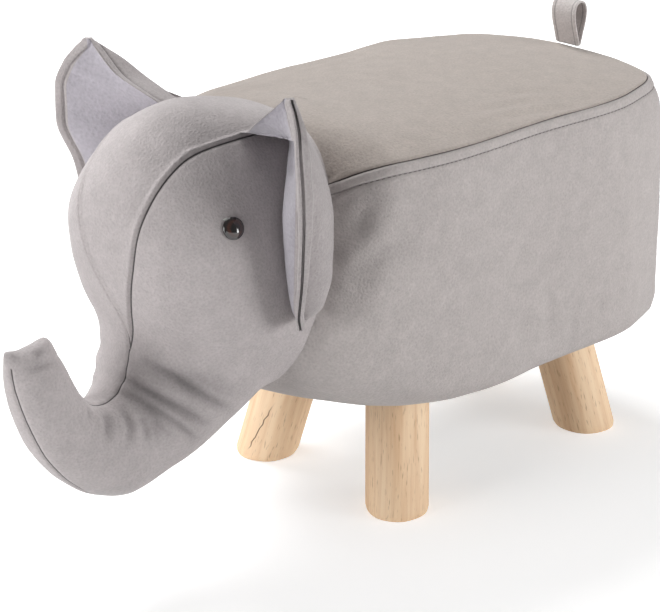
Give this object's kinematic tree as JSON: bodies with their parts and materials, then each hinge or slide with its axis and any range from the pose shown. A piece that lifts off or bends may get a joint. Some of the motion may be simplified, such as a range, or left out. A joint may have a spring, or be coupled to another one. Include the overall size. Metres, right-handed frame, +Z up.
{
  "type": "elephant footstool",
  "caption": "Stuffed elephant-shaped footstool: padded seat on splayed round wooden legs, with a stuffed head, curled trunk, hinged cloth ears and a strap tail.",
  "frame": {"origin": "on the floor under the middle of the whole object", "axes": "+Z up from the floor; the head and trunk point towards -X and the tail is at +X; the elephant's own left side faces -Y"},
  "size_m": [0.607, 0.269, 0.3645],
  "materials": {
    "leg_wood": "plain sanded round wood",
    "plywood": "raw plywood",
    "pine": "raw pine",
    "zinc_steel": "bright zinc",
    "dust_cloth": "thin non-woven",
    "foam": "open-cell foam",
    "fibre_filling": "loose fibre",
    "eye": "polished",
    "washer": "moulded",
    "suede_top": "fine suede",
    "suede_cloth": "fine suede"
  },
  "bodies": {
    "stool": {"base_board": "plywood", "cheek_left": "suede_cloth", "cheek_right": "suede_cloth", "deck_board": "plywood", "dust_cover": "dust_cloth", "eye_left": "eye", "eye_right": "eye", "eye_washers": "washer", "forehead_gusset": "suede_cloth", "frame_screws": "zinc_steel", "front_rail": "pine", "hanger_bolts": "zinc_steel", "head_filling": "fibre_filling", "left_rail": "pine", "leg_front_left": "leg_wood", "leg_front_right": "leg_wood", "leg_rear_left": "leg_wood", "leg_rear_right": "leg_wood", "rear_rail": "pine", "right_rail": "pine", "seat_foam": "foam", "side_foam": "foam", "side_panel": "suede_cloth", "staples": "zinc_steel", "t_nuts": "zinc_steel", "top_panel": "suede_top", "trunk_filling": "fibre_filling"},
    "left_ear": {"ear_left_front_panel": "suede_cloth", "ear_left_rear_panel": "suede_cloth", "ear_left_root_strip": "suede_cloth", "ear_left_wadding": "fibre_filling"},
    "right_ear": {"ear_right_front_panel": "suede_cloth", "ear_right_rear_panel": "suede_cloth", "ear_right_root_strip": "suede_cloth", "ear_right_wadding": "fibre_filling"},
    "tail": {"tail_loop": "suede_cloth"}
  },
  "joints": [
    {"name": "left_ear_flap", "type": "hinge", "parent": "stool", "child": "left_ear", "pos_m": [-0.103, -0.09372, 0.215], "axis": [-0.0657, 0.1534, 0.986], "range_deg": [-20, 25], "stiffness_Nm_per_rad": 0.3},
    {"name": "right_ear_flap", "type": "hinge", "parent": "stool", "child": "right_ear", "pos_m": [-0.103, 0.09372, 0.215], "axis": [0.0657, 0.1534, -0.986], "range_deg": [-20, 25], "stiffness_Nm_per_rad": 0.3},
    {"name": "tail_flap", "type": "hinge", "parent": "stool", "child": "tail", "pos_m": [0.279, 0, 0.30248], "axis": [0, 1, 0], "range_deg": [-60, 80], "stiffness_Nm_per_rad": 0.02}
  ]
}
